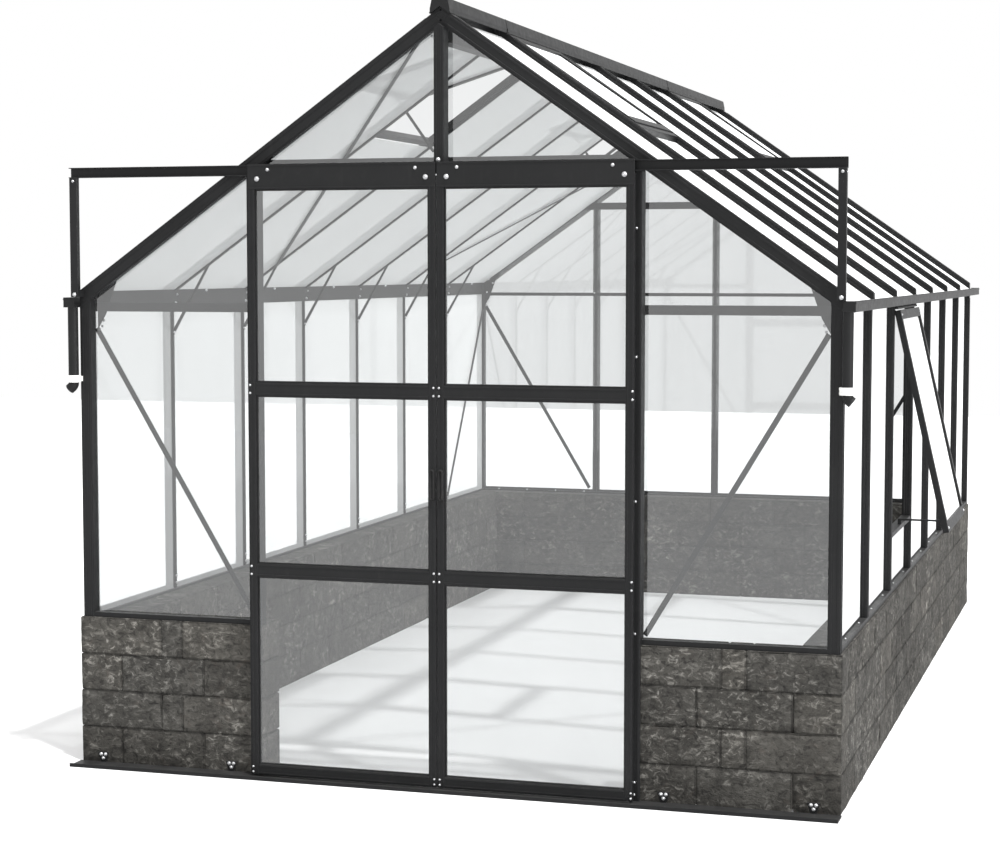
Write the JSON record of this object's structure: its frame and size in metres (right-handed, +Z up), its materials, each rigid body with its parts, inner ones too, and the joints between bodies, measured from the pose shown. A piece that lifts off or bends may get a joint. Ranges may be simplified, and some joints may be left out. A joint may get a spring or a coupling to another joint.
{
  "type": "greenhouse",
  "caption": "Gable-roofed glass greenhouse on a stone block dwarf wall, with sliding front doors, roof vents and an opening side window.",
  "frame": {"origin": "middle of the front, on the ground, on the underside of the threshold rail", "axes": "+X to the right along the front as seen from outside, +Y into the house along the ridge, +Z up"},
  "size_m": [3.2435, 5.305, 2.9152],
  "materials": {
    "frame": "satin anthracite powder coat",
    "glass": "clear toughened glass",
    "blocks": "rough split-face block",
    "clip": "white moulded plastic",
    "rollers": "zinc-plated steel"
  },
  "bodies": {
    "house": {"corner_posts": "frame", "door_jambs": "frame", "door_track": "frame", "downpipes": "frame", "dwarf_wall_left": "blocks", "dwarf_wall_rear": "blocks", "dwarf_wall_right": "blocks", "dwarf_walls_front": "blocks", "eave_beams": "frame", "gable_glass": "glass", "gable_mullions": "frame", "gable_sills": "frame", "gable_tie_bars": "frame", "gusset_plates": "frame", "gutter_walls": "frame", "gutters": "frame", "knee_struts": "frame", "opening_transoms": "frame", "pipe_clips": "clip", "rafters_left": "frame", "rafters_right": "frame", "ridge_beam": "frame", "ridge_cap": "frame", "roof_bars": "frame", "roof_braces": "frame", "roof_glass": "glass", "side_glass": "glass", "side_mullions": "frame", "side_sills": "frame", "stay_bars": "frame", "threshold_rail": "frame", "track_end_posts": "frame", "vent_glass": "glass", "vent_rails": "frame", "vent_stiles": "frame", "wall_braces": "frame", "window_glass": "glass", "window_hood": "frame", "window_rails": "frame", "window_stiles": "frame"},
    "door_left": {"left_door_glass": "glass", "left_door_handle": "frame", "left_door_rails": "frame", "left_door_rollers": "rollers", "left_door_stiles": "frame"},
    "door_right": {"right_door_glass": "glass", "right_door_handle": "frame", "right_door_rails": "frame", "right_door_rollers": "rollers", "right_door_stiles": "frame"}
  },
  "joints": [
    {"name": "left_door_slide", "type": "slide", "parent": "house", "child": "door_left", "axis": [-1, 0, 0], "range_m": [0, 0.7]},
    {"name": "right_door_slide", "type": "slide", "parent": "house", "child": "door_right", "axis": [1, 0, 0], "range_m": [0, 0.7]}
  ]
}
